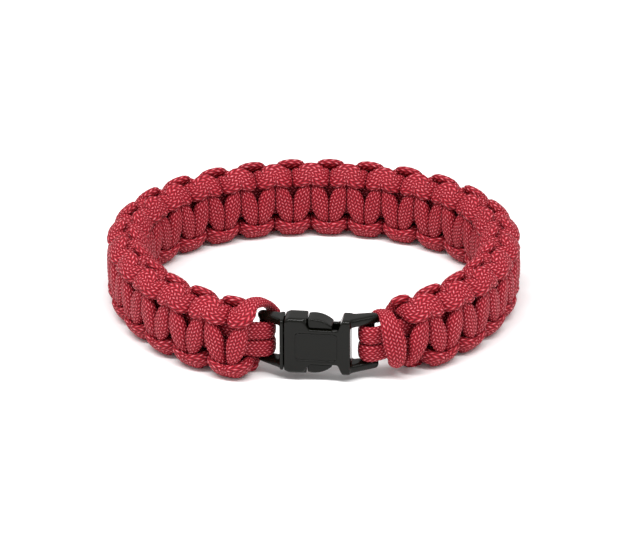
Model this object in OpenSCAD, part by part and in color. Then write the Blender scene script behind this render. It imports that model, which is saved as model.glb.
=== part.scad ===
// A bracelet of knotted cord, closed by a small side-release buckle.
// The ring lies with its axis upright and rests on the band's lower edge. The buckle is at the
// front, towards -Y. Lengths are in millimetres.

/* [Band] */
// Number of half knots between the buckle's two ends
half_knots = 49; // [41:2:57]
// Length of band that one half knot takes up
knot_pitch = 4.55; // [4.3:0.05:4.9]
// Width of the band, from its lower to its upper edge
band_w = 17.5; // [16.8:0.1:18.6]
// Thickness of the band, from its inner to its outer face
band_t = 9.4; // [9:0.1:10.2]
// Length of the loop at the front between the middles of the first and last bars of cord
plain_len = 32.6; // [31.6:0.2:36]
// How far the middle of that plain stretch lies to the right of the ring's middle
plain_shift = 0.7; // [0:0.1:1]

/* [Ring] */
// Half of the straight stretch that the buckle lies on
straight_half = 9.5; // [8:0.5:11]
// Angle that the ring turns through beside each end of the buckle
hinge_turn = 31; // [24:1:36]
// Radius of those two turns
hinge_r = 20.3; // [17:0.1:26]
// Angle that the ring has turned through at the end of each front arc
front_turn = 86; // [76:1:94]
// Angle that the ring has turned through at the end of each side arc
side_turn = 149; // [140:1:156]
// Radius of the side arcs as a share of the back arc's radius
side_share = 0.65; // [0.56:0.01:0.8]

/* [Buckle] */
// Width of the buckle, across the band
buckle_w = 13; // [12.4:0.1:13.6]
// Thickness of the buckle's body
buckle_t = 5.4; // [5:0.1:5.8]
// Angle that the buckle is turned by, with its socket's end outwards
buckle_yaw = 6.5; // [0:0.5:8]
// Length of the socket's body
socket_len = 14.3; // [13.4:0.1:15]
// Distance of the socket's mouth to the left of the ring's middle
mouth_x = 6.2; // [6:0.1:6.4]
// Thickness of the socket's front and back walls
face_wall = 1.05; // [0.8:0.05:1.3]
// Thickness of the socket's side walls at its mouth
side_wall = 1.3; // [1:0.1:1.6]
// Length of the closed band round the socket's mouth
mouth_len = 4.9; // [4.6:0.1:5.2]
// Length of the bevel round the mouth's sides
mouth_bevel = 1; // [0.6:0.1:1.4]
// How far the plug's sides stand below the socket's
plug_inset = 0.5; // [0.3:0.1:0.7]
// Length of the side windows along their floor
window_len = 6.7; // [6.4:0.1:6.9]
// Depth of the side windows, from the socket's edge
window_depth = 2.4; // [2.2:0.1:2.6]
// How far the far side of each window leans, from the floor to the socket's edge
window_slope = 1; // [0.8:0.1:1.4]
// How far the thin lip in front reaches over the near end of each window
lip_reach = 0.7; // [0.5:0.1:0.9]
// How far the lip's near side leans, from the floor to the socket's edge
window_flare = 1.8; // [1.4:0.1:2.2]
// Thickness of the plate that closes the plug against the mouth
plate_t = 0.85; // [0.75:0.05:1.1]
// Gap between the plug's plate and the socket's mouth
seam = 0.12; // [0.08:0.02:0.2]
// Thickness of each spring arm of the plug
spring_t = 1.1; // [0.9:0.1:1.3]
// Gap between each spring arm and the mouth's side wall
spring_gap = 0.35; // [0.25:0.05:0.6]
// Gap between the plug's inner pieces and the socket's front and back walls
face_gap = 0.2; // [0.1:0.05:0.3]
// How far each button stands below the socket's edge
button_drop = 0.1; // [0:0.1:0.4]
// Radius of each button's domed top
button_r = 5.8; // [5.2:0.1:6.6]
// Thickness of each button outside the socket's walls
button_t = 4.2; // [3.8:0.1:4.4]
// Width of the guide between the spring arms
guide_w = 1.8; // [1.2:0.1:2.4]
// Radius of the body's long edges
edge_r = 0.8; // [0.5:0.1:1.1]
// Depth of the plain panel sunk in the socket's front
panel_sink = 0.15; // [0.1:0.05:0.3]
// Width of that panel, across the band
panel_w = 6.8; // [6.2:0.2:7.4]
// Length of that panel
panel_len = 9.4; // [8.6:0.2:10]

/* [Cord loops of the buckle] */
// How far the buckle's middle lies below the band's
buckle_drop = 0.45; // [0.2:0.05:0.5]
// Angle that each cord loop leans back from the body
loop_tilt = 25; // [20:1:28]
// Width of each arm of the socket's loop, across the band
socket_arm_w = 2; // [1.7:0.1:2.1]
// Width of each arm of the plug's loop
plug_arm_w = 1.7; // [1.5:0.1:1.8]
// Thickness of each loop arm at the body
root_t = 4.6; // [4.2:0.1:4.8]
// Thickness of each loop arm at its end
arm_t = 2.6; // [2.4:0.1:2.8]
// Diameter of the crossbars
crossbar_d = 1.9; // [1.6:0.1:2.1]
// Length of the socket's loop, from the arms' root to the crossbar's middle
socket_reach = 4.9; // [4.7:0.1:5.1]
// Length of the socket's arms past the crossbar's middle, to the middle of their round ends
arm_over = 0.6; // [0.4:0.1:0.8]
// Length of the plug's loop, from the arms' root to the crossbar's middle
plug_reach = 4.9; // [4.8:0.1:5]
// Thickness of the flattened cord round a crossbar
wrap_t = 1.8; // [1.6:0.1:2]
// Gap between the cord and a crossbar
wrap_gap = 0.1; // [0.08:0.02:0.2]

/* [Hidden] */
cord_color = [0.62, 0.08, 0.14];
plastic_color = [0.05, 0.05, 0.055];

// The ring's middle line starts at the front and runs to the right: a straight stretch, then arcs
// beside the buckle, along the front, along the side and along the back. The last two radii
// close the ring at its real length.
function radians(a) = a * PI / 180;
function degrees(a) = a * 180 / PI;
function outward(h) = [sin(h), -cos(h)];
loop_len = half_knots * knot_pitch + plain_len;
half_len = loop_len / 2;
front_sweep = [sin(front_turn) - sin(hinge_turn), radians(front_turn - hinge_turn)];
back_sweep = [
    side_share * (sin(side_turn) - sin(front_turn)) - sin(side_turn),
    side_share * radians(side_turn - front_turn) + radians(180 - side_turn)
];
left_over = [
    -straight_half - hinge_r * sin(hinge_turn),
    half_len - straight_half - hinge_r * radians(hinge_turn)
];
sweeps = cross(front_sweep, back_sweep);
front_r = cross(left_over, back_sweep) / sweeps;
back_r = cross(front_sweep, left_over) / sweeps;
side_r = side_share * back_r;
ring_depth = hinge_r * (1 - cos(hinge_turn)) + front_r * (cos(hinge_turn) - cos(front_turn))
           + side_r * (cos(front_turn) - cos(side_turn)) + back_r * (cos(side_turn) + 1);
front_y = -ring_depth / 2;
mid_z = band_w / 2;

hinge_c = [straight_half, front_y + hinge_r];
front_c = hinge_c + (hinge_r - front_r) * outward(hinge_turn);
side_c = front_c + (front_r - side_r) * outward(front_turn);
back_c = side_c + (side_r - back_r) * outward(side_turn);
hinge_end = straight_half + hinge_r * radians(hinge_turn);
front_end = hinge_end + front_r * radians(front_turn - hinge_turn);
side_end = front_end + side_r * radians(side_turn - front_turn);

// Point and heading at a length along the right half of the middle line
function on_arc(c, r, h) = [each (c + r * outward(h)), h];
function right_at(s) =
    s < straight_half ? [s, front_y, 0]
    : s < hinge_end ? on_arc(hinge_c, hinge_r, degrees((s - straight_half) / hinge_r))
    : s < front_end ? on_arc(front_c, front_r, hinge_turn + degrees((s - hinge_end) / front_r))
    : s < side_end ? on_arc(side_c, side_r, front_turn + degrees((s - front_end) / side_r))
    : on_arc(back_c, back_r, side_turn + degrees((s - side_end) / back_r));
function ring_at(s) =
    let (p = right_at(s > half_len ? loop_len - s : s))
    s > half_len ? [-p.x, p.y, 360 - p.z] : p;

// A place on the band: the length along it, the height from its middle, the distance outwards
function band_at(s, up, out) =
    let (p = ring_at(s))
    [p.x + out * sin(p.z), p.y - out * cos(p.z), mid_z + up];

// The knots are drawn once at the proportions they are tied in, with the pitch as 1, and then
// stretched to the band's sizes. A knot is half this wide and half this thick:
tied_half_w = 1.88;
tied_half_t = 1.03;
knots_start = plain_len / 2 + plain_shift;
function on_band(p) = band_at(
    knots_start + p.x * knot_pitch, p.y / tied_half_w * band_w / 2, p.z / tied_half_t * band_t / 2);

// Stations of a cord from the middle of a bar, round the band's edge, to the crest of the loop
// that it makes on the other face. Rows after the bar's middle are mirrored on its other side.
// Columns: along, across, out, direction that the cord's flat faces, width, thickness
ALONG = 0;
ACROSS = 1;
OUT = 2;
FACES = 3;
WIDE = 4;
THICK = 5;
bar = [0, 0, 0.72, 0, 0.88, 0.62];
turn = [
    [-0.19, 0.84, 0.68, 20, 0.58, 0.52],
    [-0.26, 1.29, 0.05, 90, 0.4, 0.48],
    [0.02, 1.59, -0.46, 140, 0.44, 0.46]
];
crest = [0.5, 1.56, -0.68, 150, 0.74, 0.68];

// Stations at the ends of the cords. The outer cord starts behind the first knot and ends behind
// the last. The inner cord comes from behind the socket's arm, lies across the front as the first
// bar, and ends over and behind the plug's arm.
outer_head = [
    [0.05, -0.1, -0.78, 180, 0.6, 0.5],
    [0.16, 0.86, -0.8, 180, 0.5, 0.5]
];
outer_tail = [
    [0.32, -1.46, -0.76, -160, 0.6, 0.52],
    [0.62, -1.28, -1.14, 180, 0.5, 0.42]
];
inner_head = [
    [-0.5, 0.5, -1.02, 180, 0.5, 0.36],
    [-0.44, 0.94, -0.8, 140, 0.5, 0.36],
    [-0.28, 1.16, -0.1, 90, 0.5, 0.4],
    [-0.32, 1.0, 0.58, 40, 0.64, 0.44],
    [-0.15, 0.1, 0.76, 0, 0.92, 0.56],
    [-0.02, -0.84, 0.7, -20, 0.7, 0.52],
    [0.1, -1.26, 0.04, -90, 0.44, 0.5],
    [0.5, -1.16, -0.68, -170, 0.46, 0.44],
    [0.92, -1.02, -0.82, 180, 0.42, 0.4]
];
inner_tail = [
    [0.4, 1.8, 0.14, 75, 0.6, 0.42],
    [0.66, 1.7, -0.5, 75, 0.6, 0.42],
    [1.0, 1.47, -0.98, 80, 0.52, 0.4],
    [1.36, 1.14, -1.27, 130, 0.5, 0.36],
    [1.62, 0.76, -1.36, 160, 0.5, 0.36]
];

// Each bar starts and ends on opposite edges, and the next bar runs the other way.
function bar_way(k) = k % 2 == 0 ? 1 : -1;
function placed(row, k, side, way) =
    [k + side * row[ALONG], way * side * row[ACROSS], row[OUT], way * side * row[FACES],
     row[WIDE], row[THICK]];
function bar_rows(k, way) = [
    for (i = [len(turn) - 1:-1:0]) placed(turn[i], k, -1, way),
    placed(bar, k, 1, way),
    for (row = turn) placed(row, k, 1, way)
];
function crest_row(k, way) = [placed(crest, k, 1, way)];
function weave_rows(first, last) = [
    for (k = [first:last]) each concat(bar_rows(k, bar_way(k)),
                                       k < last ? crest_row(k, bar_way(k)) : [])
];
function shifted(rows, k) = [for (r = rows) [r[ALONG] + k, each [for (i = [1:5]) r[i]]]];
function without_first(rows, n) = [for (i = [n:len(rows) - 1]) rows[i]];

// The inner cord is the outer one turned half round about the band's length.
function turned_round(rows) =
    [for (r = rows) [r[ALONG], -r[ACROSS], -r[OUT], 180 + r[FACES], r[WIDE], r[THICK]]];

outer_rows = concat(
    outer_head, [[0.62, 1.56, -0.68, 150, 0.7, 0.6]],
    weave_rows(1, half_knots), shifted(outer_tail, half_knots));
inner_rows = concat(
    inner_head,
    without_first(turned_round(weave_rows(1, half_knots)), 2), shifted(inner_tail, half_knots));

// A tube through rings of points, closed at both ends
module tube(rings) {
    n = len(rings[0]);
    last = len(rings) - 1;
    polyhedron(
        points = [for (r = rings) each r],
        faces = [
            for (j = [0:last - 1], i = [0:n - 1], half = [0, 1])
                let (a = j * n + i, b = j * n + (i + 1) % n)
                half == 0 ? [a, a + n, b] : [b, a + n, b + n],
            for (i = [1:n - 2]) [0, i, i + 1],
            for (i = [1:n - 2]) [last * n, last * n + i + 1, last * n + i]
        ]);
}

function unit(v) = v / norm(v);
function centre(row) = [row[ALONG], row[ACROSS], row[OUT]];
cord_sides = 6;
function section(row, way) =
    let (
        flat = [0, sin(row[FACES]), cos(row[FACES])],
        side = unit(cross(way, flat)),
        face = cross(side, way)
    )
    [for (i = [0:cord_sides - 1])
        let (a = -360 * i / cord_sides)
        centre(row) + side * cos(a) * row[WIDE] / 2 + face * sin(a) * row[THICK] / 2];
function heading(rows, i) =
    unit(centre(rows[min(i + 1, len(rows) - 1)]) - centre(rows[max(i - 1, 0)]));

module woven_cord(rows) {
    color(cord_color)
        tube([for (i = [0:len(rows) - 1]) [for (p = section(rows[i], heading(rows, i))) on_band(p)]]);
}
module outer_cord() { woven_cord(outer_rows); }
module inner_cord() { woven_cord(inner_rows); }

// The buckle's own frame has its middle at the ring's front, -Y outwards and Z across the band.
socket_end = socket_len - mouth_x;
plate_x = -mouth_x - seam - plate_t;
socket_root = socket_end - 0.5;
plug_root = plate_x + 0.5;
function from_buckle(p) = [
    p.x * cos(buckle_yaw) + p.y * sin(buckle_yaw),
    front_y - p.x * sin(buckle_yaw) + p.y * cos(buckle_yaw)
];
module in_buckle() { translate([0, front_y, mid_z - buckle_drop]) rotate([0, 0, -buckle_yaw]) children(); }
function socket_loop(reach) = [socket_root + reach * cos(loop_tilt), reach * sin(loop_tilt)];
socket_bar = socket_loop(socket_reach);
plug_bar = [plug_root - plug_reach * cos(loop_tilt), plug_reach * sin(loop_tilt)];
wrap_r = crossbar_d / 2 + wrap_gap + wrap_t / 2;

// The two core cords run side by side through the knots, and each hooks round both crossbars.
core_half = 0.44 / tied_half_w * band_w / 2;
core_w = 0.86 / tied_half_w * band_w / 2;
core_t = 0.66 / tied_half_t * band_t / 2;
hooked = 6;
function hook(c, side, turn) =
    [for (i = [0:hooked - 1]) let (a = 75 + i * turn) c + wrap_r * [side * cos(a), sin(a)]];
core_first = knots_start + knot_pitch;
core_line = concat(
    hook(from_buckle(socket_bar), 1, 44),
    [for (i = [0:half_knots - 1])
        let (p = ring_at(core_first + i * knot_pitch)) [p.x, p.y]],
    [for (i = [hooked - 1:-1:0]) hook(from_buckle(plug_bar), -1, 40)[i]]);

module core_strand(up) {
    last = len(core_line) - 1;
    tube([for (i = [0:last])
        let (
            way = unit(core_line[min(i + 1, last)] - core_line[max(i - 1, 0)]),
            out = [way.y, -way.x, 0],
            t = min(i, last - i) < hooked ? wrap_t : core_t,
            c = [each core_line[i], mid_z + up - (min(i, last - i) < hooked ? buckle_drop : 0)]
        )
        [for (j = [0:cord_sides - 1])
            let (a = -360 * (j + 0.5) / cord_sides)
            c + out * cos(a) * t / sqrt(3) + [0, 0, sin(a) * core_w / 2]]]);
}
module core_cord() {
    color(cord_color) for (up = [-core_half, core_half]) core_strand(up);
}

module rounded_rect(w, h, r) {
    square([w - 2 * r, h], center = true);
    square([w, h - 2 * r], center = true);
    for (x = [-1, 1], y = [-1, 1]) translate([x * (w / 2 - r), y * (h / 2 - r)]) circle(r, $fn = 32);
}
module block_along_x(x0, x1, w = buckle_w) {
    translate([x0, 0, 0]) rotate([90, 0, 90]) linear_extrude(x1 - x0)
        rounded_rect(buckle_t, w, edge_r);
}
module box_between(lo, hi) { translate(lo) cube(hi - lo); }

// Two tapered arms and a crossbar that the core cords hook round
module cord_loop(root, bar, tip, half_w, arm_w) {
    step = bar.x > root ? 1 : -1;
    for (z = [-half_w, half_w - arm_w]) hull() {
        box_between([root - (step + 1) / 8, -root_t / 2, z], [root + (1 - step) / 8, root_t / 2, z + arm_w]);
        translate([tip.x, tip.y, z]) cylinder(h = arm_w, d = arm_t, $fn = 48);
    }
    translate([bar.x, bar.y, arm_w / 2 - half_w])
        cylinder(h = 2 * half_w - arm_w, d = crossbar_d, $fn = 48);
}

window_x0 = mouth_len - mouth_x;
window_x1 = window_x0 + window_len;
window_floor = buckle_w / 2 - window_depth;
cavity_half = buckle_w / 2 - side_wall;
cavity_end = window_x1 + side_wall / 4;
lip_y = -button_t / 2 - seam;

module window_cut(y0, y1, near, lean) {
    translate([0, y1, 0]) rotate([90, 0, 0]) linear_extrude(y1 - y0) polygon([
        [near, window_floor], [window_x1, window_floor],
        [window_x1 + window_slope, buckle_w / 2], [window_x1 + window_slope, buckle_w],
        [near - lean, buckle_w], [near - lean, buckle_w / 2]]);
}
module side_window() {
    window_cut(lip_y, buckle_t, window_x0, 0);
    window_cut(-buckle_t, lip_y, window_x0 + lip_reach, window_flare);
}

module buckle_socket() {
    color(plastic_color) in_buckle() {
        difference() {
            union() {
                hull() {
                    block_along_x(-mouth_x, mouth_bevel - mouth_x, buckle_w - 2 * plug_inset);
                    block_along_x(mouth_bevel - mouth_x, mouth_bevel - mouth_x + 0.1);
                }
                block_along_x(mouth_bevel - mouth_x, socket_end);
            }
            box_between([-mouth_x - 1, face_wall - buckle_t / 2, -cavity_half],
                        [cavity_end, buckle_t / 2 - face_wall, cavity_half]);
            for (m = [0, 1]) mirror([0, 0, m]) side_window();
            translate([(socket_end - mouth_x) / 2 - 0.2, panel_sink - buckle_t / 2, 0])
                rotate([90, 0, 0]) linear_extrude(1) rounded_rect(panel_len, panel_w, edge_r);
        }
        cord_loop(socket_root, socket_bar, socket_loop(socket_reach + arm_over),
                  buckle_w / 2 - 0.1, socket_arm_w);
    }
}

spring_out = cavity_half - spring_gap;
inner_y = buckle_t / 2 - face_wall - face_gap;
button_end = window_x1 - 1.2;
button_start = window_x0 + 0.15;
button_mid = button_start + 0.19 * window_len;
button_top = buckle_w / 2 - button_drop;

module spring_arm() {
    box_between([plate_x + plate_t / 2, -inner_y, spring_out - spring_t],
                [button_end, inner_y, spring_out]);
    intersection() {
        translate([button_mid, 0, button_top - button_r]) rotate([90, 0, 0])
            cylinder(h = 2 * buckle_t, r = button_r, center = true, $fn = 96);
        union() {
            box_between([button_start, -inner_y, spring_out - spring_t],
                        [button_end, inner_y, button_top + 1]);
            box_between([button_start, -button_t / 2, window_floor + 0.1],
                        [button_end, button_t / 2, button_top + 1]);
        }
    }
}

module buckle_plug() {
    color(plastic_color) in_buckle() {
        block_along_x(plate_x, plate_x + plate_t, buckle_w - 2 * plug_inset);
        cord_loop(plug_root, plug_bar, plug_bar, buckle_w / 2 - plug_inset - 0.1, plug_arm_w);
        box_between([plate_x + plate_t / 2, -inner_y, -guide_w / 2],
                    [window_x0 + window_len / 2, inner_y, guide_w / 2]);
        for (m = [0, 1]) mirror([0, 0, m]) spring_arm();
    }
}

buckle_socket();
buckle_plug();
core_cord();
outer_cord();
inner_cord();
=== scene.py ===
# A wrist bracelet of knotted red cord, closed by a small black side-release buckle.
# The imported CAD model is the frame. Lengths are millimetres unless a note says otherwise.
import math
import bmesh
import bpy
import numpy as np
from mathutils import Matrix, Vector


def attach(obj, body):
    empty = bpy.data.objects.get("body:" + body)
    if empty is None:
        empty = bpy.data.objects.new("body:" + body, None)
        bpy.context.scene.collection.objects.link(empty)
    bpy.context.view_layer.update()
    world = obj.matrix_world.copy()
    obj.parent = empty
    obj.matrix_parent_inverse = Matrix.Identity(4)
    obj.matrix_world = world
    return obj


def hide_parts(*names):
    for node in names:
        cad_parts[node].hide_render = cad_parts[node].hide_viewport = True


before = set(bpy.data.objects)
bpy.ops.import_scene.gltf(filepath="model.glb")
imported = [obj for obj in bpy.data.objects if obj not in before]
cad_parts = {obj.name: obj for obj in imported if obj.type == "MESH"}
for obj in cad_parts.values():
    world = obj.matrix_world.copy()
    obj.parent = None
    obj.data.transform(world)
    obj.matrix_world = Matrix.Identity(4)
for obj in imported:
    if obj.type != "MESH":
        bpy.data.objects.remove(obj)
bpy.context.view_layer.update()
mm = 0.001
print("frame loaded:", sorted(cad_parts))

# The ring that the band follows, with the values of the CAD model
band = {
    "halfKnots": 49,
    "knotPitch": 4.55,          # length of band that one half knot takes up
    "width": 17.5,
    "thickness": 9.4,
    "plainLength": 32.6,        # loop between the first and the last bar, at the front
    "plainShift": 0.7,
    "tiedHalfWidth": 1.88,      # half width and half thickness of a knot, in pitches
    "tiedHalfThickness": 1.03,
}
ring = {
    "straightHalf": 9.5,
    "hingeTurn": 31, "hingeRadius": 20.3,       # beside each end of the buckle
    "frontTurn": 86, "sideTurn": 149, "sideShare": 0.65,
}

loopLength = band["halfKnots"] * band["knotPitch"] + band["plainLength"]
halfLoop = loopLength / 2
knotsStart = band["plainLength"] / 2 + band["plainShift"]
midHeight = band["width"] / 2


def outward(heading):
    return np.stack([np.sin(heading), -np.cos(heading)], -1)


def ringArcs():
    turns = np.radians([0, ring["hingeTurn"], ring["frontTurn"], ring["sideTurn"], 180])
    straight, hinge, share = ring["straightHalf"], ring["hingeRadius"], ring["sideShare"]
    rise, sweep = np.diff(np.sin(turns)), np.diff(turns)
    known = np.array([-straight - hinge * rise[0], halfLoop - straight - hinge * sweep[0]])
    front, back = np.linalg.solve(
        [[rise[1], share * rise[2] + rise[3]], [sweep[1], share * sweep[2] + sweep[3]]], known)
    radii = np.array([hinge, front, share * back, back])
    starts = straight + np.concatenate([[0], np.cumsum(radii * sweep)[:3]])
    depth = (radii * -np.diff(np.cos(turns))).sum()
    centres = [np.array([straight, hinge - depth / 2])]
    for i in range(3):
        centres.append(centres[-1] + (radii[i] - radii[i + 1]) * outward(turns[i + 1]))
    return turns, radii, starts, np.array(centres), -depth / 2


turns, radii, starts, centres, frontY = ringArcs()
print("ring front at", round(frontY, 3), "radii", radii.round(2))


# Place on the ring's middle line, and the way it heads there
def ringAt(s):
    s = np.asarray(s, float)
    m = np.where(s > halfLoop, loopLength - s, s)
    arc = np.clip(np.searchsorted(starts, m, side="right") - 1, 0, 3)
    heading = turns[arc] + (m - starts[arc]) / radii[arc]
    place = centres[arc] + radii[arc][:, None] * outward(heading)
    flat = m < starts[0]
    heading[flat] = 0
    place[flat] = np.stack([m[flat], np.full(flat.sum(), frontY)], -1)
    left = s > halfLoop
    place[left, 0] *= -1
    return place, np.where(left, 2 * math.pi - heading, heading)


# Stations of the working cords, in pitches: along the band, across it, outwards, then the way the
# cord faces (three parts), width and thickness. They run from the middle of a bar, round the
# band's edge, to the crest of a loop.
barMiddle = [0, 0, 0.74, 0, 0, 1, 1.06, 0.62]
barEnd = [
    [-0.16, 0.66, 0.72, -0.1, 0.2, 0.95, 0.74, 0.58],
    [-0.27, 1.06, 0.52, -0.5, 0.5, 0.7, 0.54, 0.54],
    [-0.3, 1.22, 0.0, -0.95, 0.3, 0.0, 0.8, 0.52],
    [-0.24, 1.26, -0.42, -0.7, 0.45, -0.6, 0.94, 0.58],
    [0.0, 1.3, -0.66, -0.2, 0.6, -0.78, 1.0, 0.54],
    [0.27, 1.5, -0.57, -0.05, 0.7, -0.7, 1.18, 0.52],
]
crest = [0.5, 1.54, -0.53, 0, 0.74, -0.68, 1.24, 0.5]
outerHead = [
    [0.05, -0.1, -0.78, 0, 0, -1, 0.6, 0.5],
    [0.2, 0.8, -0.8, 0, 0, -1, 0.6, 0.5],
    [0.64, 1.3, -0.72, 0, 0.5, -0.87, 0.8, 0.5],
]
outerTail = [
    [0.32, -1.46, -0.76, 0, -0.34, -0.94, 0.7, 0.52],
    [0.62, -1.28, -1.14, 0, 0, -1, 0.5, 0.42],
]
innerHead = [
    [-0.5, 0.5, -1.02, 0, 0, -1, 0.6, 0.38],
    [-0.44, 0.96, -0.8, 0, 0.64, -0.77, 0.7, 0.4],
    [-0.28, 1.16, -0.1, 0, 1, 0, 0.76, 0.42],
    [-0.32, 1.0, 0.56, 0, 0.64, 0.77, 0.9, 0.46],
    [-0.15, 0.1, 0.78, 0, 0, 1, 1.16, 0.56],
    [-0.02, -0.84, 0.72, 0, -0.34, 0.94, 0.86, 0.54],
    [0.1, -1.26, 0.04, -0.6, -0.8, 0, 0.6, 0.5],
    [0.5, -1.16, -0.68, 0, -0.17, -0.98, 0.46, 0.44],
    [0.92, -1.02, -0.82, 0, 0, -1, 0.42, 0.4],
]
innerTail = [
    [0.4, 1.78, 0.14, 0, 0.96, 0.26, 0.9, 0.44],
    [0.66, 1.7, -0.5, 0, 0.96, 0.26, 0.8, 0.44],
    [1.0, 1.48, -0.98, 0, 0.98, 0.17, 0.66, 0.42],
    [1.36, 1.14, -1.27, 0, 0.76, -0.64, 0.56, 0.38],
    [1.62, 0.76, -1.36, 0, 0.34, -0.94, 0.56, 0.36],
]


def placed(row, knot, side, way):
    flip = side * way
    along, across, outwards, faceAlong, faceAcross, faceOutwards, wide, thick = row
    return [knot + side * along, flip * across, outwards,
            side * faceAlong, flip * faceAcross, faceOutwards, wide, thick]


def weaveRows(count):
    rows = []
    for knot in range(1, count + 1):
        way = 1 if knot % 2 == 0 else -1
        rows += [placed(row, knot, -1, way) for row in reversed(barEnd)]
        rows.append(placed(barMiddle, knot, 1, way))
        rows += [placed(row, knot, 1, way) for row in barEnd]
        if knot < count:
            rows.append(placed(crest, knot, 1, way))
    return rows


def turnedRound(rows):
    return [[r[0], -r[1], -r[2], r[3], -r[4], -r[5], r[6], r[7]] for r in rows]


def shifted(rows, knots):
    return [[r[0] + knots] + r[1:] for r in rows]


# A smooth line through the rows, by centripetal Catmull-Rom spans
def throughPoints(rows, perSpan):
    p = np.asarray(rows, float)
    p = np.concatenate([[2 * p[0] - p[1]], p, [2 * p[-1] - p[-2]]])
    gaps = np.linalg.norm(np.diff(p[:, :3], axis=0), axis=1) ** 0.5 + 1e-9
    t = np.concatenate([[0], np.cumsum(gaps)])
    out = []
    for i in range(1, len(p) - 2):
        at = np.linspace(t[i], t[i + 1], perSpan, endpoint=False)[:, None]

        def between(a, b, j, k):
            return ((t[k] - at) * a + (at - t[j]) * b) / (t[k] - t[j])

        first = between(p[i - 1], p[i], i - 1, i)
        second = between(p[i], p[i + 1], i, i + 1)
        third = between(p[i + 1], p[i + 2], i + 1, i + 2)
        before = between(first, second, i - 1, i + 1)
        after = between(second, third, i, i + 2)
        out.append(between(before, after, i, i + 1))
    return np.concatenate(out + [p[-2:-1]])


def unit(v):
    return v / np.maximum(np.linalg.norm(v, axis=-1, keepdims=True), 1e-12)


def onBand(rows):
    place, heading = ringAt(knotsStart + rows[:, 0] * band["knotPitch"])
    zero = 0 * heading
    along = np.stack([np.cos(heading), np.sin(heading), zero], -1)
    outwards = np.stack([np.sin(heading), -np.cos(heading), zero], -1)
    up = np.array([0, 0, 1.0])
    points = np.concatenate([place, zero[:, None] + midHeight], 1)
    points += outwards * (rows[:, 2:3] / band["tiedHalfThickness"] * band["thickness"] / 2)
    points += up * (rows[:, 1:2] / band["tiedHalfWidth"] * band["width"] / 2)
    faces = along * rows[:, 3:4] + up * rows[:, 4:5] + outwards * rows[:, 5:6]
    return points, unit(faces)


cordDraw = {
    "step": 0.466,              # distance between the cord's rings, half a stitch of its braid
    "sides": 32,                # two for each of the braid's columns
    "pointsPerSpan": 8,         # on the middle line, between two rows of a table
    "evenings": 3,              # passes that even the middle line out
    "sink": 0.1,                # how far pressed cords sink into each other, so no light shows
    "fullness": 2.35,           # 2 is an ellipse, more is squarer
    "soften": 9,                # how sharply a pressed side meets the free ones
    "relief": 0.08,             # depth between the stitches
    "reliefShare": 0.12,        # and its most, as a share of the distance from the cord's middle
    "ownStretch": 6,            # a cord never presses on its own next stretch of this length
    "neighbourReach": 7,        # how far apart two middles that press on each other may be
    "neighbours": 80,           # the nearest rings that each ring is compared with
    "leastReach": 0.8, "leastRadius": 0.15,
    "bendShare": 0.9,           # the most of the way to the middle of a bend
}
braid = {"columns": 16, "slant": 0.66, "offset": 0.5, "border": 0.12}
ringsPerStitch = 2
stitchesPerUv = 100


def centreLine(points, faces, wide, thick):
    d = np.concatenate([[0], np.cumsum(np.linalg.norm(np.diff(points, axis=0), axis=1))])
    s = np.linspace(0, d[-1], max(4, round(d[-1] / cordDraw["step"])) + 1)

    def even(a):
        return np.stack([np.interp(s, d, a[:, i]) for i in range(a.shape[1])], -1)

    every = even(np.concatenate([points, faces, wide[:, None], thick[:, None]], 1))
    for _ in range(cordDraw["evenings"]):
        every[1:-1] = 0.5 * every[1:-1] + 0.25 * (every[:-2] + every[2:])
    p = every[:, :3]
    along = unit(np.gradient(p, axis=0))
    side = unit(np.cross(along, every[:, 3:6]))
    return {"p": p, "along": along, "side": side, "face": np.cross(side, along), "s": s,
            "a": every[:, 6] / 2, "b": every[:, 7] / 2,
            "bend": np.gradient(along, axis=0) / (s[1] - s[0])}


def wovenLine(rows):
    every = throughPoints(rows, cordDraw["pointsPerSpan"])
    points, faces = onBand(every)
    wide, thick = every[:, 6] * band["knotPitch"], every[:, 7] * band["knotPitch"]
    return centreLine(points, faces, wide, thick)


# How far a stitch of the braid dives at a place on the cord, 0 on a stitch and 1 between
def stitchDive(along, around):
    column = np.floor(around * braid["columns"] + 1e-6)
    u = around * braid["columns"] - column
    odd = column % 2
    v = along + (1 - 2 * odd) * braid["slant"] * (u - 0.5) + braid["offset"] * odd
    arch = braid["border"] + (1 - braid["border"]) * np.sin(np.pi * u)
    return 1 - (0.5 + 0.5 * np.cos(2 * np.pi * v)) * arch


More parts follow.
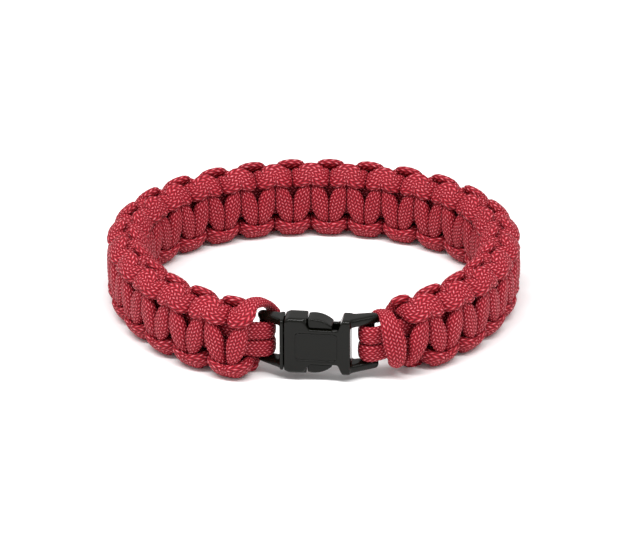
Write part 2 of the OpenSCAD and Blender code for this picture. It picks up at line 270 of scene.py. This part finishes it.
# Rings of points for each cord. Each cord keeps its own flat oval where it is free, and where it
# meets another the two press flat against each other, halfway between their middles.
def squeezed(lines):
    def joined(key):
        return np.concatenate([line[key] for line in lines])

    p, s, side, face, along, bend, a, b = [
        joined(k) for k in ("p", "s", "side", "face", "along", "bend", "a", "b")]
    owner = np.concatenate([np.full(len(line["p"]), i) for i, line in enumerate(lines)])
    stitch = np.concatenate([np.arange(len(line["p"])) / ringsPerStitch for line in lines])
    reach = np.maximum(np.minimum(a, b), cordDraw["leastReach"])
    metric = np.stack([side / a[:, None], face / b[:, None], along / reach[:, None]], 1)
    around = np.arange(cordDraw["sides"]) / cordDraw["sides"]
    even = 2 * np.pi * around
    turn = -np.arctan2(np.sqrt(b)[:, None] * np.sin(even), np.sqrt(a)[:, None] * np.cos(even))
    cos, sin = np.cos(turn), np.sin(turn)
    nearest, ringsAtOnce = cordDraw["neighbours"], 256
    rings = []
    for lo in range(0, len(p), ringsAtOnce):
        i = np.arange(lo, min(lo + ringsAtOnce, len(p)))
        apart = ((p[i][:, None] - p[None]) ** 2).sum(-1)
        ownStretch = np.abs(s[i][:, None] - s[None]) < cordDraw["ownStretch"]
        apart[(owner[i][:, None] == owner[None]) & ownStretch] = 1e9
        j = np.argpartition(apart, nearest, axis=1)[:, :nearest]
        close = np.take_along_axis(apart, j, 1) < cordDraw["neighbourReach"] ** 2
        u = side[i][:, None] * cos[i][..., None] + face[i][:, None] * sin[i][..., None]
        ca = np.abs(cos[i]) / a[i][:, None]
        sb = np.abs(sin[i]) / b[i][:, None]
        full, soft = cordDraw["fullness"], cordDraw["soften"]
        free = (ca ** full + sb ** full) ** (-1 / full)
        offset = np.einsum("nkab,nkb->nka", metric[j], p[i][:, None] - p[j])
        rise = np.einsum("nkab,nmb->nkma", metric[j], u)
        qa = (rise ** 2).sum(-1) - (ca ** 2 + sb ** 2)[:, None]
        qb = (rise * offset[:, :, None]).sum(-1)
        qc = (offset ** 2).sum(-1)[:, :, None]
        inside = qb * qb - qa * qc
        under = np.sqrt(np.maximum(inside, 0)) - qb
        meets = (inside >= 0) & (under > 1e-9) & close[:, :, None]
        met = np.where(meets, qc / np.maximum(under, 1e-9), 1e9)
        limit = np.maximum(met.min(1) + cordDraw["sink"] / 2, cordDraw["leastRadius"])
        curl = np.einsum("nb,nmb->nm", bend[i], u)
        bent = np.where(curl > 1e-6, cordDraw["bendShare"] / np.maximum(curl, 1e-6), 1e9)
        limit = np.minimum(limit, bent)
        size = (free ** -soft + limit ** -soft) ** (-1 / soft)
        depth = np.minimum(cordDraw["relief"], cordDraw["reliefShare"] * size)
        size -= depth * stitchDive(stitch[i][:, None], around[None])
        rings.append(p[i][:, None] + u * size[..., None])
    ends = np.cumsum([len(line["p"]) for line in lines])
    return np.split(np.concatenate(rings), ends[:-1])


# The inner cord's head takes the place of the first rows of its weave
knots = band["halfKnots"]
outerRows = outerHead + weaveRows(knots) + shifted(outerTail, knots)
innerRows = innerHead + turnedRound(weaveRows(knots))[5:] + shifted(innerTail, knots)

# The buckle's places, as in the CAD model, and the two core cords that hook round its crossbars
buckle = {
    "yaw": 6.5, "drop": 0.45, "width": 13, "thickness": 5.4, "inset": 0.5,
    "socketLength": 14.3, "mouth": 6.2, "seam": 0.12, "plate": 0.85,
    "loopTilt": 25, "socketReach": 4.9, "plugReach": 4.9, "crossbar": 1.9,
    "socketArm": 2, "plugArm": 1.7, "armOver": 0.6, "rootThickness": 4.6, "armThickness": 2.6,
    "rootInside": 0.5,          # how far the arms start inside the body
    "armInset": 0.1,            # how far they stand back from its edges
    "panelLength": 9.4, "panelWidth": 6.8, "panelSink": 0.15, "panelCorner": 0.8,
    "panelShift": 0.2,          # from the socket's middle towards the plug
}
coreCord = {
    "across": 0.425, "wide": 0.97, "thick": 0.66,    # in pitches, as tied
    "wrapWide": 4.3, "wrapThick": 1.8, "wrapGap": 0.1,
    "hookStart": 75, "hookTurn": {1: 44, -1: 40}, "hookRows": 11,
}


def fromBuckle(x, y):
    yaw = math.radians(buckle["yaw"])
    return (x * math.cos(yaw) + y * math.sin(yaw), frontY - x * math.sin(yaw) + y * math.cos(yaw))


def coreLines():
    c, b = coreCord, buckle
    tilt = math.radians(b["loopTilt"])
    socketRoot = b["socketLength"] - b["mouth"] - b["rootInside"]
    plugRoot = -b["mouth"] - b["seam"] - b["plate"] + b["rootInside"]
    socketReach, plugReach = b["socketReach"], b["plugReach"]
    bars = {1: fromBuckle(socketRoot + socketReach * math.cos(tilt), socketReach * math.sin(tilt)),
            -1: fromBuckle(plugRoot - plugReach * math.cos(tilt), plugReach * math.sin(tilt))}
    radius = b["crossbar"] / 2 + c["wrapGap"] + c["wrapThick"] / 2

    def hook(side):
        angles = np.radians(c["hookStart"] + c["hookTurn"][side] / 2 * np.arange(c["hookRows"]))
        return np.array(bars[side]) + radius * np.stack([side * np.cos(angles), np.sin(angles)], -1)

    inKnots = ringAt(knotsStart + band["knotPitch"] * np.arange(1, band["halfKnots"] + 1))[0]
    flat = np.concatenate([hook(1), inKnots, hook(-1)[::-1]])
    thick = np.full(len(flat), c["thick"] / band["tiedHalfThickness"] * band["thickness"] / 2)
    wide = np.full(len(flat), c["wide"] / band["tiedHalfWidth"] * band["width"] / 2)
    hooked = c["hookRows"]
    thick[:hooked] = thick[-hooked:] = c["wrapThick"]
    wide[:hooked] = wide[-hooked:] = c["wrapWide"]
    lines = []
    for side in (-1, 1):
        up = side * c["across"] / band["tiedHalfWidth"] * band["width"] / 2
        height = np.full(len(flat), midHeight + up)
        height[:hooked] -= b["drop"]
        height[-hooked:] -= b["drop"]
        rows = np.concatenate([flat, np.stack([height, thick, wide], 1)], 1)
        every = throughPoints(rows, cordDraw["pointsPerSpan"])
        way = unit(np.gradient(every[:, :3], axis=0))
        outs = np.stack([way[:, 1], -way[:, 0], 0 * way[:, 0]], -1)
        lines.append(centreLine(every[:, :3], outs, every[:, 4], every[:, 3]))
    return lines


lines = [wovenLine(outerRows), wovenLine(innerRows)] + coreLines()
for name, line in zip(("outer cord", "inner cord", "core 1", "core 2"), lines):
    print(name, "length", round(line["s"][-1]), "mm,", len(line["p"]), "rings")
allRings = squeezed(lines)


def addPiece(name, bm, material, node):
    bmesh.ops.recalc_face_normals(bm, faces=bm.faces)
    mesh = bpy.data.meshes.new(name)
    bm.to_mesh(mesh)
    bm.free()
    mesh.materials.append(material)
    piece = bpy.data.objects.new(name, mesh)
    bpy.context.scene.collection.objects.link(piece)
    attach(piece, "root")
    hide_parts(node)
    print(name, len(mesh.polygons), "faces")
    return piece


# A cord as a closed tube. Its "weave" UV counts hundreds of stitches along and turns round.
def cordPiece(name, parts, material, node):
    bm = bmesh.new()
    weaveUv = bm.loops.layers.uv.new("weave")
    for rings in parts:
        n, m = rings.shape[:2]
        made = bmesh.ops.create_grid(bm, x_segments=n - 1, y_segments=m, size=1)["verts"]
        index = {v: (round((v.co.x + 1) / 2 * (n - 1)), round((v.co.y + 1) / 2 * m)) for v in made}
        for v, (i, j) in index.items():
            v.co = rings[i, j % m] * mm
        for face in {f for v in made for f in v.link_faces}:
            for corner in face.loops:
                i, j = index[corner.vert]
                corner[weaveUv].uv = (i / (ringsPerStitch * stitchesPerUv), j / m)
        bmesh.ops.remove_doubles(bm, verts=made, dist=1e-7)
    bmesh.ops.holes_fill(bm, edges=[e for e in bm.edges if e.is_boundary], sides=0)
    for face in bm.faces:
        face.smooth = True
    return addPiece(name, bm, material, node)


# Small builder for shader node groups and materials
class Nodes:
    def __init__(self, tree):
        self.tree = tree

    def put(self, value, socket):
        if isinstance(value, bpy.types.NodeSocket):
            self.tree.links.new(value, socket)
        else:
            socket.default_value = value

    def add(self, kind, values=None):
        node = self.tree.nodes.new(kind)
        for key, value in (values or {}).items():
            self.put(value, node.inputs[key])
        return node

    def math(self, operation, a, b=0.0, c=0.0):
        node = self.add("ShaderNodeMath", {0: a, 1: b, 2: c})
        node.operation = operation
        return node.outputs[0]

    def ease(self, value, low, high):
        node = self.add("ShaderNodeMapRange", {"Value": value, "From Min": low, "From Max": high})
        node.interpolation_type = "SMOOTHSTEP"
        return node.outputs["Result"]

    def noise(self, place, scale, detail):
        values = {"Vector": place, "Scale": scale, "Detail": detail}
        return self.add("ShaderNodeTexNoise", values).outputs[0]

    def bump(self, height, distance):
        values = {"Height": height, "Distance": distance * mm, "Strength": 1.0}
        return self.add("ShaderNodeBump", values).outputs[0]

    def mix(self, amount, a, b):
        node = self.tree.nodes.new("ShaderNodeMix")
        node.data_type = "RGBA"
        for index, value in ((0, amount), (6, a), (7, b)):
            self.put(value, node.inputs[index])
        return node.outputs[2]


def newGroup(name, inputs, outputs):
    tree = bpy.data.node_groups.new(name, "ShaderNodeTree")
    for socket, kind in inputs:
        tree.interface.new_socket(socket, in_out="INPUT", socket_type=kind)
    for socket, kind in outputs:
        tree.interface.new_socket(socket, in_out="OUTPUT", socket_type=kind)
    n = Nodes(tree)
    return n, n.add("NodeGroupInput"), n.add("NodeGroupOutput")


sheath = {
    # The first colour is painted shade that darkens the cord between its stitches, not the cord's
    # own red
    "paintedShade": (0.135, 0.004, 0.009), "body": (0.40, 0.011, 0.024), "light": (0.78, 0.27, 0.31),
    "bodyRise": (0.04, 0.42),   # heights on a stitch between which the painted shade turns into body
    "paintedHighlightRise": (0.62, 1.0),   # and between which the painted highlight comes in
    "lightShare": (0.4, 0.55),  # the least of the painted highlight, and what chance adds from stitch to stitch
    "value": (0.86, 0.3), "valueScale": 260.0,          # slow changes along the cord
    "roughness": (0.66, -0.22),                         # between stitches, and the change on top
    "fibre": 0.12, "fibreScale": 5200.0,
    "bump": 0.12,               # height of the stitches in the bump
    "specular": 0.18,
}


def braidGroup():
    n, given, made = newGroup(
        "braided sheath", [("Along", "NodeSocketFloat"), ("Around", "NodeSocketFloat")],
        [("Color", "NodeSocketColor"), ("Roughness", "NodeSocketFloat"),
         ("Height", "NodeSocketFloat")])
    along = n.math("MULTIPLY", given.outputs["Along"], float(stitchesPerUv))
    around = n.math("MULTIPLY", given.outputs["Around"], float(braid["columns"]))
    column = n.math("FLOOR", around)
    u = n.math("FRACT", around)
    odd = n.math("MODULO", column, 2.0)
    lean = n.math("MULTIPLY", n.math("MULTIPLY_ADD", odd, -2.0, 1.0), braid["slant"])
    v = n.math("MULTIPLY_ADD", n.math("SUBTRACT", u, 0.5), lean, along)
    v = n.math("MULTIPLY_ADD", odd, braid["offset"], v)
    ridge = n.math("MULTIPLY_ADD", n.math("COSINE", n.math("MULTIPLY", v, 2 * math.pi)), 0.5, 0.5)
    arch = n.math("SINE", n.math("MULTIPLY", u, math.pi))
    arch = n.math("MULTIPLY_ADD", arch, 1 - braid["border"], braid["border"])
    height = n.math("MULTIPLY", ridge, arch)
    stitchAt = n.add("ShaderNodeCombineXYZ", {0: n.math("FLOOR", n.math("ADD", v, 0.5)), 1: column})
    chance = n.add("ShaderNodeTexWhiteNoise", {"Vector": stitchAt.outputs[0]})
    chance.noise_dimensions = "2D"
    place = n.add("ShaderNodeTexCoord").outputs["Object"]
    drift = n.noise(place, sheath["valueScale"], 2.0)
    # Painted shade: low on a stitch the colour turns from body to the darker first colour
    base = n.mix(n.ease(height, *sheath["bodyRise"]), (*sheath["paintedShade"], 1), (*sheath["body"], 1))
    least, more = sheath["lightShare"]
    # Painted highlight: the third colour brightens the tops of the stitches, more on some by chance
    paintedGleam = n.math("MULTIPLY", n.ease(height, *sheath["paintedHighlightRise"]),
                   n.math("MULTIPLY_ADD", chance.outputs["Value"], more, least))
    color = n.mix(paintedGleam, base, (*sheath["light"], 1))
    least, more = sheath["value"]
    value = n.math("MULTIPLY_ADD", drift, more, least)
    shade = n.add("ShaderNodeHueSaturation", {"Color": color, "Value": value})
    fibre = n.noise(place, sheath["fibreScale"], 1.0)
    between, onTop = sheath["roughness"]
    n.put(shade.outputs[0], made.inputs["Color"])
    n.put(n.math("MULTIPLY_ADD", height, onTop, between), made.inputs["Roughness"])
    n.put(n.math("MULTIPLY_ADD", fibre, sheath["fibre"], height), made.inputs["Height"])
    return n.tree


def newMaterial(name):
    material = bpy.data.materials.new(name)
    material.use_nodes = True
    return material, Nodes(material.node_tree), material.node_tree.nodes["Principled BSDF"]


def cordMaterial(name, group):
    material, n, shader = newMaterial(name)
    mapped = n.add("ShaderNodeUVMap")
    mapped.uv_map = "weave"
    weave = n.add("ShaderNodeSeparateXYZ", {0: mapped.outputs[0]})
    made = n.add("ShaderNodeGroup")
    made.node_tree = group
    n.put(weave.outputs[0], made.inputs["Along"])
    n.put(weave.outputs[1], made.inputs["Around"])
    n.put(made.outputs["Color"], shader.inputs["Base Color"])
    n.put(made.outputs["Roughness"], shader.inputs["Roughness"])
    n.put(n.bump(made.outputs["Height"], sheath["bump"]), shader.inputs["Normal"])
    shader.inputs["Specular IOR Level"].default_value = sheath["specular"]
    return material


plastic = {
    "color": (0.0026, 0.0026, 0.0014), "value": (0.75, 0.5),    # the least, and what patches add
    "roughness": 0.22, "roughnessSpread": 0.2, "patchScale": 350.0,
    "grain": 0.004, "grainScale": 3200.0,
    "specular": 0.22,
}


def plasticMaterial(name):
    material, n, shader = newMaterial(name)
    place = n.add("ShaderNodeTexCoord").outputs["Object"]
    grain = n.noise(place, plastic["grainScale"], 2.0)
    patch = n.noise(place, plastic["patchScale"], 3.0)
    least, more = plastic["value"]
    value = n.math("MULTIPLY_ADD", patch, more, least)
    shade = n.add("ShaderNodeHueSaturation", {"Color": (*plastic["color"], 1), "Value": value})
    spread = plastic["roughnessSpread"]
    roughness = n.math("MULTIPLY_ADD", patch, spread, plastic["roughness"] - spread / 2)
    n.put(shade.outputs[0], shader.inputs["Base Color"])
    n.put(roughness, shader.inputs["Roughness"])
    n.put(n.bump(grain, plastic["grain"]), shader.inputs["Normal"])
    shader.inputs["Specular IOR Level"].default_value = plastic["specular"]
    return material


redCord = cordMaterial("red cord", braidGroup())
blackPlastic = plasticMaterial("black plastic")
print("materials made")

cordPiece("outerCord", [allRings[0]], redCord, "outer_cord")
cordPiece("innerCord", [allRings[1]], redCord, "inner_cord")
cordPiece("coreCord", [allRings[2], allRings[3]], redCord, "core_cord")

# The buckle's halves keep the CAD model's forms. The bodies are copies, the arms and crossbars are
# drawn anew in the same places with round sides, and the whole is then eased as a moulding is.
moulding = {"armRadius": 0.75, "grid": 0.12, "passes": 20}
dots = {"radius": 0.17, "inwards": 0.55, "height": 0.1}     # raised dots in the panel's corners
rim = {"inwards": 0.2, "width": 0.16, "height": 0.16, "rooted": 0.05}    # line round the panel
buckleAt = (Matrix.Translation((0, frontY * mm, (midHeight - buckle["drop"]) * mm))
            @ Matrix.Rotation(-math.radians(buckle["yaw"]), 4, "Z"))
socketEnd = buckle["socketLength"] - buckle["mouth"]
plugEnd = -(buckle["mouth"] + buckle["seam"] + buckle["plate"])
panelMiddle = buckle["socketLength"] / 2 - buckle["mouth"] - buckle["panelShift"]


# A closed skin over rows of points, with flat caps on the first and last rows
def addSkin(bm, rows, capped=True):
    n, m = len(rows), len(rows[0])
    made = bmesh.ops.create_grid(bm, x_segments=n - 1, y_segments=m, size=1)["verts"]
    for v in made:
        v.co = Vector(rows[round((v.co.x + 1) / 2 * (n - 1))][round((v.co.y + 1) / 2 * m) % m]) * mm
    bmesh.ops.remove_doubles(bm, verts=made, dist=1e-7)
    if capped:
        bmesh.ops.holes_fill(bm, edges=[e for e in bm.edges if e.is_boundary], sides=0)


# The outline of an arm, seen from above and drawn in by a margin: straight sides from the body to
# a round end
def armOutline(root, tip, side, margin):
    b = buckle
    start, end = b["rootThickness"] / 2 - margin, b["armThickness"] / 2 - margin
    reach = Vector(tip) - Vector((root, 0))
    back = math.atan2(reach.y, reach.x * side)
    points = [(root, -start), (root, start)]
    lean = math.asin((b["rootThickness"] - b["armThickness"]) / 2 / reach.length)
    quarter, endPoints = math.pi / 2, 25
    turns = np.linspace(back + quarter - lean, back - quarter + lean, endPoints)
    points += [(tip[0] + side * end * math.cos(a), tip[1] + end * math.sin(a)) for a in turns]
    return points


def addArms(bm, side):
    b = buckle
    root = socketEnd - b["rootInside"] if side > 0 else plugEnd + b["rootInside"]
    width = b["socketArm"] if side > 0 else b["plugArm"]
    top = b["width"] / 2 - b["armInset"] - (0 if side > 0 else b["inset"])
    tilt = math.radians(b["loopTilt"])
    reach = b["socketReach"] if side > 0 else b["plugReach"]
    over = reach + (b["armOver"] if side > 0 else 0)
    bar = (root + side * reach * math.cos(tilt), reach * math.sin(tilt))
    tip = (root + side * over * math.cos(tilt), over * math.sin(tilt))
    bend = [math.radians(a) for a in range(0, 91, 15)]
    radius = moulding["armRadius"]
    edge = [(radius * (1 - math.sin(a)), radius * (1 - math.cos(a))) for a in bend]
    levels = [(top - width + inwards, margin) for inwards, margin in reversed(edge)]
    levels += [(top - inwards, margin) for inwards, margin in edge]
    for up in (-1, 1):
        addSkin(bm, [[(x, y, up * z) for x, y in armOutline(root, tip, side, margin)]
                     for z, margin in levels])
    bmesh.ops.create_cone(bm, cap_ends=True, segments=32, radius1=b["crossbar"] / 2 * mm,
                          radius2=b["crossbar"] / 2 * mm, depth=(2 * top - width) * mm,
                          matrix=Matrix.Translation(Vector((*bar, 0)) * mm))


# One skin round all the closed forms in a mesh, with its edges and inner corners eased
def eased(bm):
    mesh = bpy.data.meshes.new("forms")
    bm.to_mesh(mesh)
    bm.free()
    forms = bpy.data.objects.new("forms", mesh)
    bpy.context.scene.collection.objects.link(forms)
    remesh = forms.modifiers.new("skin", "REMESH")
    remesh.mode = "VOXEL"
    remesh.voxel_size = moulding["grid"] * mm
    graph = bpy.context.evaluated_depsgraph_get()
    skin = bpy.data.meshes.new_from_object(forms.evaluated_get(graph))
    bm = bmesh.new()
    bm.from_mesh(skin)
    for used in (mesh, skin):
        bpy.data.meshes.remove(used)
    for _ in range(moulding["passes"]):
        bmesh.ops.smooth_vert(bm, verts=bm.verts, factor=0.5,
                              use_axis_x=True, use_axis_y=True, use_axis_z=True)
    return bm


def buckleHalf(node, name, side, marks=None):
    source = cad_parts[node]
    bm = bmesh.new()
    bm.from_mesh(source.data)
    bm.transform(buckleAt.inverted() @ source.matrix_world)
    bmesh.ops.remove_doubles(bm, verts=bm.verts, dist=2e-6)
    cut = (socketEnd if side > 0 else plugEnd) * mm
    bmesh.ops.bisect_plane(bm, geom=bm.verts[:] + bm.edges[:] + bm.faces[:], dist=1e-6,
                           plane_co=(cut, 0, 0), plane_no=(side, 0, 0), clear_outer=True)
    bmesh.ops.holes_fill(bm, edges=[e for e in bm.edges if e.is_boundary], sides=0)
    addArms(bm, side)
    bmesh.ops.recalc_face_normals(bm, faces=bm.faces)
    bm = eased(bm)
    if marks:
        marks(bm)
    bm.transform(buckleAt)
    for face in bm.faces:
        face.smooth = True
    return addPiece(name, bm, blackPlastic, node)


# The panel's fine rim and the dots in its corners
def panelMarks(bm):
    b = buckle
    face = b["panelSink"] - b["thickness"] / 2
    halfLong, halfWide = b["panelLength"] / 2, b["panelWidth"] / 2

    def loop(inwards, y):
        points = []
        for i, j, start in ((1, 1, 0), (-1, 1, 90), (-1, -1, 180), (1, -1, 270)):
            radius = b["panelCorner"] - inwards
            for turn in range(start, start + 91, 15):
                a = math.radians(turn)
                x = panelMiddle + i * (halfLong - inwards - radius) + radius * math.cos(a)
                points.append((x, y, j * (halfWide - inwards - radius) + radius * math.sin(a)))
        return points

    outer, inner = rim["inwards"], rim["inwards"] + rim["width"]
    low, high = face + rim["rooted"], face - rim["height"]
    rows = [loop(outer, low), loop(outer, high), loop(inner, high), loop(inner, low)]
    addSkin(bm, rows + rows[:1], capped=False)
    for i in (-1, 1):
        for j in (-1, 1):
            at = Vector((panelMiddle + i * (halfLong - dots["inwards"]),
                         face + dots["radius"] - dots["height"],
                         j * (halfWide - dots["inwards"]))) * mm
            bmesh.ops.create_uvsphere(bm, u_segments=12, v_segments=8, radius=dots["radius"] * mm,
                                      matrix=Matrix.Translation(at))


buckleHalf("buckle_socket", "buckleSocket", 1, panelMarks)
buckleHalf("buckle_plug", "bucklePlug", -1)

# The camera at the photograph's angle. Its focal length and the ring's place are in pixels.
view = {
    "image": (631, 539), "elevation": 24.95, "distance": 732, "focal": 3244,
    "ringAt": (313.7, 260.1), "target": (0, 0, 10.0),
}
sensorWidth = 36
imageWidth, imageHeight = view["image"]
camera = bpy.data.objects.new("camera", bpy.data.cameras.new("camera"))
bpy.context.scene.collection.objects.link(camera)
elevation = math.radians(view["elevation"])
towards = Vector((0, -math.cos(elevation), math.sin(elevation)))
camera.location = (Vector(view["target"]) + towards * view["distance"]) * mm
camera.rotation_euler = (math.pi / 2 - elevation, 0, 0)
camera.data.sensor_width = sensorWidth
camera.data.lens = view["focal"] / imageWidth * sensorWidth
camera.data.shift_x = (imageWidth / 2 - view["ringAt"][0]) / imageWidth
camera.data.shift_y = (view["ringAt"][1] - imageHeight / 2) / imageWidth
camera.data.clip_start = 0.05
bpy.context.scene.camera = camera
print("camera set")

# A white paper floor, an even sky and one long soft box overhead, in metres and watts
studio = {
    "paper": (0.93, 0.93, 0.93, 1), "paperRoughness": 0.9, "floor": 3, "sky": 0.64,
    "boxAt": (-0.05, -0.3, 0.88), "boxSize": (1.4, 0.14), "boxPower": 12.5,
}
bm = bmesh.new()
bmesh.ops.create_grid(bm, x_segments=1, y_segments=1, size=studio["floor"])
floorMesh = bpy.data.meshes.new("floor")
bm.to_mesh(floorMesh)
bm.free()
floor = bpy.data.objects.new("floor", floorMesh)
bpy.context.scene.collection.objects.link(floor)
paper, _, paperShader = newMaterial("paper")
paperShader.inputs["Base Color"].default_value = studio["paper"]
paperShader.inputs["Roughness"].default_value = studio["paperRoughness"]
floorMesh.materials.append(paper)

world = bpy.data.worlds.new("studio")
world.use_nodes = True
sky = world.node_tree.nodes["Background"]
sky.inputs["Color"].default_value = (1, 1, 1, 1)
sky.inputs["Strength"].default_value = studio["sky"]
bpy.context.scene.world = world
bpy.context.scene.view_settings.view_transform = "Standard"

boxLight = bpy.data.lights.new("overhead box", "AREA")
boxLight.shape = "RECTANGLE"
boxLight.size, boxLight.size_y = studio["boxSize"]
boxLight.energy = studio["boxPower"]
softBox = bpy.data.objects.new("overhead box", boxLight)
bpy.context.scene.collection.objects.link(softBox)
softBox.location = studio["boxAt"]
aim = Vector((0, 0, 0.01)) - Vector(studio["boxAt"])
softBox.rotation_euler = aim.to_track_quat("-Z", "Y").to_euler()
print("light and floor set")
